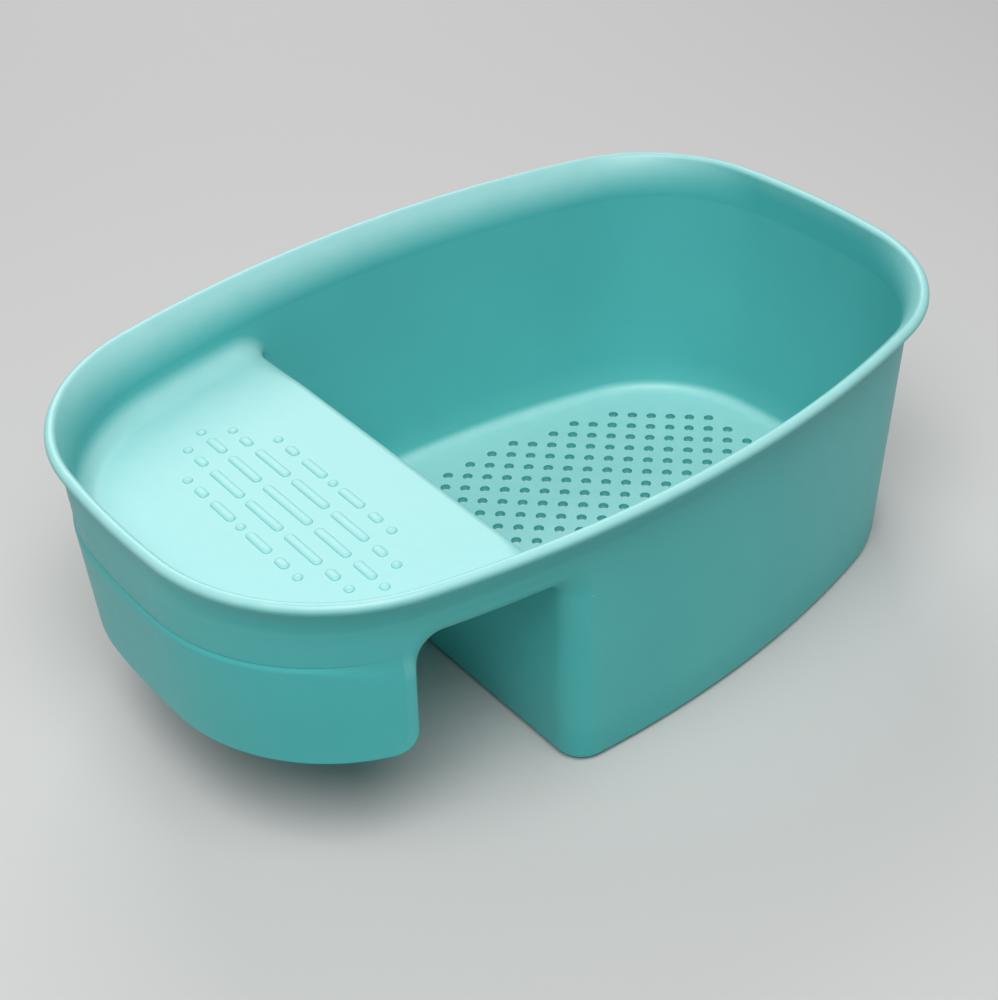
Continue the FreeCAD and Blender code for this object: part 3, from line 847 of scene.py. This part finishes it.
skirt_steps = [skirt_track(outside), skirt_track(inside)]
skirt_out = np.array([[outside(z) for z in skirt_z]] * len(skirt_steps[0]))
skirt_x = wall_ring.at(skirt_steps[0], skirt_out)[..., 0]
skirt_out = skirt_inset(skirt_x, skirt_z[None, :])
skirt_out[[0, -1]] += BEHIND_STRIP
skirt_in = np.array([inside(z) - SKIRT_PROUD for z in skirt_z])
skirt = Skin("saddle_skirt_skin")
skirt.loops(np.concatenate([rows_at(wall_ring, skirt_steps[0], skirt_out, skirt_z),
                            rows_at(wall_ring, skirt_steps[1], skirt_in, skirt_z)[:, ::-1]], axis=1))
skirt_piece = skirt.piece(rounded=lambda middle: middle.z < SKIRT_BOTTOM + LOWEST)
soften = skirt_piece.modifiers.new("soft lower edge", "BEVEL")
soften.limit_method = "WEIGHT"
soften.width = LOWER_SOFT * MM
soften.segments = 3
hand_over(skirt_piece, "saddle_skirt", plastic_skirt)

# %% [markdown]
# ## Drain floor
# Water leaves through a lattice of round holes, turned by 45 degrees. Cutting hundreds of holes with
# booleans is slow and messy. Geometry Nodes do it as a mould would: lay the lattice, keep the places that
# lie well inside the floor's outline, put a circle at each, fill outline and circles together, and give the
# sheet its thickness.


# %% A small kit for node trees
class Tree:
    """A Geometry Nodes tree with named inputs, made step by step."""

    def __init__(self, name, sizes):
        self.tree = bpy.data.node_groups.new(name, "GeometryNodeTree")
        self.tree.interface.new_socket("Geometry", in_out="INPUT", socket_type="NodeSocketGeometry")
        self.tree.interface.new_socket("Geometry", in_out="OUTPUT", socket_type="NodeSocketGeometry")
        for size, value in sizes.items():
            made = self.tree.interface.new_socket(size, in_out="INPUT", socket_type="NodeSocketFloat")
            made.default_value = value
        self.given = self.tree.nodes.new("NodeGroupInput")
        self.sizes = sizes

    def add(self, kind, settings=(), inputs=()):
        made = self.tree.nodes.new(kind)
        for name, value in dict(settings).items():
            setattr(made, name, value)
        for name, value in dict(inputs).items():
            for one in value if isinstance(value, list) else [value]:
                if isinstance(one, bpy.types.NodeSocket):
                    self.tree.links.new(one, made.inputs[name])
                else:
                    made.inputs[name].default_value = one
        return made.outputs

    def maths(self, operation, first, second):
        return self.add("ShaderNodeMath", {"operation": operation}, {0: first, 1: second})[0]

    def run(self, geometry, carrier, finish, sharp):
        """Ends the tree, runs it on a carrier mesh, and returns a plain mesh object."""
        real = self.add("GeometryNodeRealizeInstances", {}, {0: geometry})[0]
        coated = self.add("GeometryNodeSetMaterial", {}, {0: real, "Material": finish})[0]
        self.add("NodeGroupOutput", {}, {0: coated})
        worker = show(carrier.name + "_worker", carrier)
        steps = worker.modifiers.new(self.tree.name, "NODES")
        steps.node_group = self.tree
        for item in self.tree.interface.items_tree:
            if item.in_out == "INPUT" and item.name in self.sizes:
                steps[item.identifier] = self.sizes[item.name]
        graph = bpy.context.evaluated_depsgraph_get()
        plain = bpy.data.meshes.new_from_object(worker.evaluated_get(graph), depsgraph=graph)
        bpy.data.objects.remove(worker)
        plain.name = carrier.name + "_skin"
        plain.shade_smooth()
        plain.set_sharp_from_angle(angle=math.radians(sharp))
        return show(plain.name, plain)


# %% Outline of the floor
FLOOR_POINTS = 161
FLOOR_CORNER_POINTS = 7
floor_steps = np.linspace(-1, 1, FLOOR_POINTS) * side_step(FLOOR_INSET, riser_corner(CORNER)[1])
floor_plan = wall_ring.at(floor_steps, np.full(FLOOR_POINTS, FLOOR_INSET))
floor_corner = riser_row(FLOOR_INSET, 0.0, CORNER, np.linspace(0, 1, FLOOR_CORNER_POINTS))[:, :2]
floor_line = np.concatenate([floor_plan, floor_corner[1:-1]]) * MM
outline = bpy.data.meshes.new("drain_floor")
count = len(floor_line)
outline.from_pydata([(x, y, 0.0) for x, y in floor_line], [(k, (k + 1) % count) for k in range(count)], [])
print("points of the outline:", count)

# %% Places of the holes
REPEATS = 33
RAY_START, RAY_LONG = 10.0 * MM, 50.0 * MM
net = Tree("drain holes", {"Hole Width": 4.0 * MM, "Step": 5.55 * MM, "Margin": 9.8 * MM, "Centre X": 53.3 * MM,
                           "Thickness": FLOOR * MM})
given = net.given.outputs
edge_curve = net.add("GeometryNodeMeshToCurve", {}, {0: given["Geometry"]})[0]
plate = net.add("GeometryNodeFillCurve", {}, {0: edge_curve})[0]
field = net.maths("MULTIPLY", given["Step"], 2.0 * (REPEATS - 1))
lattices = []
for shift in (0.0, 1.0):
    sheet = net.add("GeometryNodeMeshGrid", {}, {"Size X": field, "Size Y": field, "Vertices X": REPEATS,
                                                 "Vertices Y": REPEATS})[0]
    offset = net.maths("MULTIPLY", given["Step"], shift)
    along = net.maths("ADD", given["Centre X"], offset)
    place = net.add("ShaderNodeCombineXYZ", {}, {"X": along, "Y": offset})[0]
    lattices.append(net.add("GeometryNodeTransform", {}, {0: sheet, "Translation": place})[0])
lattice = net.add("GeometryNodeJoinGeometry", {}, {0: lattices})[0]
spots = net.add("GeometryNodeMeshToPoints", {}, {0: lattice})[0]
to_edge = net.add("GeometryNodeProximity", {"target_element": "EDGES"}, {0: given["Geometry"]})[1]
here = net.add("GeometryNodeInputPosition")[0]
above = net.add("ShaderNodeVectorMath", {"operation": "ADD"}, {0: here, 1: (0.0, 0.0, RAY_START)})[0]
over = net.add("GeometryNodeRaycast", {}, {"Target Geometry": plate, "Source Position": above,
                                           "Ray Direction": (0.0, 0.0, -1.0), "Ray Length": RAY_LONG})[0]
well_in = net.add("FunctionNodeCompare", {"operation": "GREATER_EQUAL"}, {0: to_edge, 1: given["Margin"]})[0]
kept_spots = net.add("FunctionNodeBooleanMath", {"operation": "AND"}, {0: well_in, 1: over})[0]
spots = net.add("GeometryNodeSeparateGeometry", {"domain": "POINT"}, {0: spots, "Selection": kept_spots})[0]
print("nodes for the places:", len(net.tree.nodes))

# %% Drain floor
HOLE_SIDES = 14
circle = net.add("GeometryNodeCurvePrimitiveCircle", {},
                 {"Resolution": HOLE_SIDES, "Radius": net.maths("MULTIPLY", given["Hole Width"], 0.5)})[0]
holes = net.add("GeometryNodeInstanceOnPoints", {}, {"Points": spots, "Instance": circle})[0]
holes = net.add("GeometryNodeRealizeInstances", {}, {0: holes})[0]
lines = net.add("GeometryNodeJoinGeometry", {}, {0: [edge_curve, holes]})[0]
cut = net.add("GeometryNodeFillCurve", {}, {0: lines})[0]
lift = net.add("ShaderNodeCombineXYZ", {}, {"Z": given["Thickness"]})[0]
raised = net.add("GeometryNodeExtrudeMesh", {}, {0: cut, "Offset": lift, "Individual": False})[0]
under = net.add("GeometryNodeFlipFaces", {}, {0: cut})[0]
whole = net.add("GeometryNodeJoinGeometry", {}, {0: [raised, under]})[0]
whole = net.add("GeometryNodeMergeByDistance", {}, {0: whole, "Distance": 0.01 * MM})[0]
floor_piece = net.run(whole, outline, plastic, sharp=40.0)
hand_over(floor_piece, "drain_floor", plastic)

# %% [markdown]
# ## Grip bars on the ledge
# Rows of soft bars and dots keep the soap off the flat plate so that it dries. Each is the same round pad,
# pulled longer. Scaling a pad would stretch its ends, so the nodes place one pad on every spot, then push
# its two halves apart by the spot's own run.

# %% Places of the bars
ROWS_X = -88.8
ROW_PITCH = 8.64
FIELD_HALF = 53.0
LONGEST_RUN = 22.9
row_shares = [
    (0, (0.0, 0.48, 0.81, 1.0), (1.0, 0.63, 0.30, 0.0)),
    (1, (0.0, 0.418, 0.724, 0.886), (0.70, 0.665, 0.11, 0.0)),
    (2, (0.0, 0.2, 0.447, 0.611), (0.0, 0.40, 0.11, 0.0)),
]
spots_at, runs = [], []
for step, places, lengths in row_shares:
    for x in sorted({ROWS_X - step * ROW_PITCH, ROWS_X + step * ROW_PITCH}):
        for share, length in zip(places, lengths):
            for y in sorted({-share * FIELD_HALF, share * FIELD_HALF}):
                spots_at.append((x * MM, y * MM, LEDGE_TOP * MM))
                runs.append(length * LONGEST_RUN * MM)
dots = bpy.data.meshes.new("ledge_grip_bars")
dots.from_pydata(spots_at, [], [])
dots.attributes.new("run", "FLOAT", "POINT").data.foreach_set("value", runs)
print("bars and dots:", len(runs))

# %% Grip bars
pads = Tree("grip bars", {"Width": 3.5 * MM, "Height": 0.62 * MM})
given = pads.given.outputs
ball = pads.add("GeometryNodeMeshUVSphere", {}, {"Segments": 20, "Rings": 12, "Radius": 1.0})[0]
here = pads.add("GeometryNodeInputPosition")[0]
across = pads.add("ShaderNodeSeparateXYZ", {}, {0: here})["Y"]
half_wide = pads.maths("MULTIPLY", given["Width"], 0.5)
squash = pads.add("ShaderNodeCombineXYZ", {}, {"X": half_wide, "Y": half_wide, "Z": given["Height"]})[0]
pad = pads.add("GeometryNodeTransform", {}, {0: ball, "Scale": squash})[0]
half = pads.maths("SIGN", across, 0.0)
pad = pads.add("GeometryNodeStoreNamedAttribute", {"data_type": "FLOAT", "domain": "POINT"},
               {0: pad, "Name": "half", "Value": half})[0]
points = pads.add("GeometryNodeMeshToPoints", {}, {0: given["Geometry"]})[0]
placed = pads.add("GeometryNodeInstanceOnPoints", {}, {"Points": points, "Instance": pad})[0]
loose = pads.add("GeometryNodeRealizeInstances", {}, {0: placed})[0]
run_here = pads.add("GeometryNodeInputNamedAttribute", {"data_type": "FLOAT"}, {"Name": "run"})[0]
half_here = pads.add("GeometryNodeInputNamedAttribute", {"data_type": "FLOAT"}, {"Name": "half"})[0]
push = pads.maths("MULTIPLY", pads.maths("MULTIPLY", run_here, half_here), 0.5)
shifted = pads.add("ShaderNodeCombineXYZ", {}, {"Y": push})[0]
stretched = pads.add("GeometryNodeSetPosition", {}, {0: loose, "Offset": shifted})[0]
bars_piece = pads.run(stretched, dots, plastic_ledge, sharp=80.0)
hand_over(bars_piece, "ledge_grip_bars", plastic_ledge)

# %% [markdown]
# ## Floor and light
# The caddy stands on a plain pale floor. A large soft key lamp hangs high at the front left and lights the
# ledge, a weaker one behind gives the lip and the flare their long highlights, and a pale world fills the
# shadows. A hard lamp would draw edges that the satin plastic doesn't have.

# %% Stage floor
floor_mesh = bpy.data.meshes.new("stage_floor")
STAGE_HALF = 6.0
stage_corners = [(x * STAGE_HALF, y * STAGE_HALF, 0.0) for x, y in ((-1, -1), (1, -1), (1, 1), (-1, 1))]
floor_mesh.from_pydata(stage_corners, [], [(0, 1, 2, 3)])
stage_floor = show("stage_floor", floor_mesh)
pale = bpy.data.materials.new("pale_floor")
pale.use_nodes = True
pale_shader = pale.node_tree.nodes["Principled BSDF"]
pale_shader.inputs["Base Color"].default_value = (0.62, 0.62, 0.61, 1.0)
pale_shader.inputs["Roughness"].default_value = 0.8
pale_shader.inputs["Specular IOR Level"].default_value = 0.0
floor_mesh.materials.append(pale)
print("stage floor:", 2 * STAGE_HALF, "m wide")

# %% Light
world = bpy.data.worlds.new("pale room")
bpy.context.scene.world = world
world.use_nodes = True
sky = world.node_tree.nodes["Background"]
sky.inputs["Color"].default_value = (0.93, 0.96, 1.0, 1.0)
sky.inputs["Strength"].default_value = 0.16


def soft_lamp(name, place, aim, size, power):
    """A square area lamp that looks at a point. Metres and watts."""
    lamp = bpy.data.lights.new(name, "AREA")
    lamp.shape = "SQUARE"
    lamp.size = size
    lamp.energy = power
    holder = show(name, lamp)
    holder.location = place
    holder.rotation_euler = (Vector(aim) - Vector(place)).to_track_quat("-Z", "Y").to_euler()
    return holder


soft_lamp("key lamp", place=(-0.36, -0.45, 1.20), aim=(0.03, 0.0, 0.05), size=0.9, power=15.8)
soft_lamp("back lamp", place=(0.50, 1.10, 1.00), aim=(-0.05, 0.0, 0.08), size=0.9, power=9.0)
print("lamps and world are set")

# %% [markdown]
# ## Camera
# The camera stands where the photograph was taken from: in front of the ledge's corner, looking down at
# about 37 degrees. The lens follows from the fitted focal length in pixels and Blender's 36 mm sensor.

# %% Camera
FOCAL_PX = 1720.5
FRAME_PX = 1000
SENSOR = 36.0
TARGET = Vector((27.155, 43.207, 0.0))
DISTANCE = 673.781
azimuth, elevation, lean = (math.radians(angle) for angle in (-36.967, 37.023, -2.506))
back = Vector((math.sin(azimuth) * math.cos(elevation), -math.cos(azimuth) * math.cos(elevation),
               math.sin(elevation)))
level = (-back).cross(Vector((0, 0, 1))).normalized()
upward = level.cross(-back)
right = math.cos(lean) * level + math.sin(lean) * upward
up = math.cos(lean) * upward - math.sin(lean) * level
eye = TARGET * MM + back * DISTANCE * MM
lens = bpy.data.cameras.new("camera")
lens.sensor_width = SENSOR
lens.lens = FOCAL_PX * SENSOR / FRAME_PX
lens.clip_start = 0.01
camera = show("camera", lens)
camera.matrix_world = Matrix.Translation(eye) @ Matrix((right, up, back)).transposed().to_4x4()
bpy.context.scene.camera = camera
bpy.context.scene.view_settings.view_transform = "Standard"
print("camera at", [round(c, 3) for c in eye])
